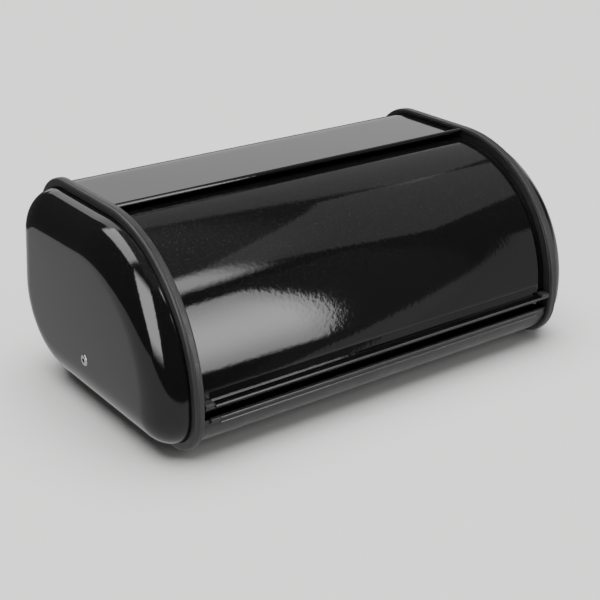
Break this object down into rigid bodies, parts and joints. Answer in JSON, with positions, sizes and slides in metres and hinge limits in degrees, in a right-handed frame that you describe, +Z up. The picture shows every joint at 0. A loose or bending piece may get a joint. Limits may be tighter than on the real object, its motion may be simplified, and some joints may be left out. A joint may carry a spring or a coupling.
{
  "type": "roll-top bread box",
  "caption": "Black steel bread box with domed ends and a curved lid that swings up and back under the top on end pivots.",
  "frame": {"origin": "under the middle of the box, at the height of the feet's soles", "axes": "+X along the box to its right-hand end, -Y the front where the lid opens, +Z up"},
  "size_m": [0.4226, 0.2484, 0.168],
  "materials": {
    "gloss_black": "gloss black enamel on steel sheet",
    "satin_black": "satin moulded black plastic",
    "arm_steel": "zinc plated strip",
    "bright_zinc": "bright zinc plate",
    "dark_screw": "blackened steel",
    "natural_nylon": "natural nylon",
    "black_rubber": "matte"
  },
  "bodies": {
    "box": {"body_shell": "gloss_black", "base_pan": "gloss_black", "front_sill": "satin_black", "back_screws": "dark_screw", "base_screws": "dark_screw", "seam_rivets": "dark_screw", "sill_rivets": "dark_screw", "left_end_cap": "gloss_black", "right_end_cap": "gloss_black", "left_end_frame": "satin_black", "right_end_frame": "satin_black", "left_front_foot": "black_rubber", "right_front_foot": "black_rubber", "left_rear_foot": "black_rubber", "right_rear_foot": "black_rubber", "left_pivot_rivet": "bright_zinc", "right_pivot_rivet": "bright_zinc", "left_pivot_washer": "natural_nylon", "right_pivot_washer": "natural_nylon", "left_clinch_washer": "bright_zinc", "right_clinch_washer": "bright_zinc", "left_lid_bumper": "black_rubber", "right_lid_bumper": "black_rubber"},
    "lid": {"lid_panel": "gloss_black", "lid_pull_rail": "gloss_black", "left_lid_arm": "arm_steel", "right_lid_arm": "arm_steel", "left_pivot_bush": "natural_nylon", "right_pivot_bush": "natural_nylon", "left_pull_end_clip": "satin_black", "right_pull_end_clip": "satin_black"}
  },
  "joints": [
    {"name": "lid_roll", "type": "hinge", "parent": "box", "child": "lid", "pos_m": [0, -0.003, 0.047], "axis": [-1, 0, 0], "range_deg": [0, 89]}
  ]
}
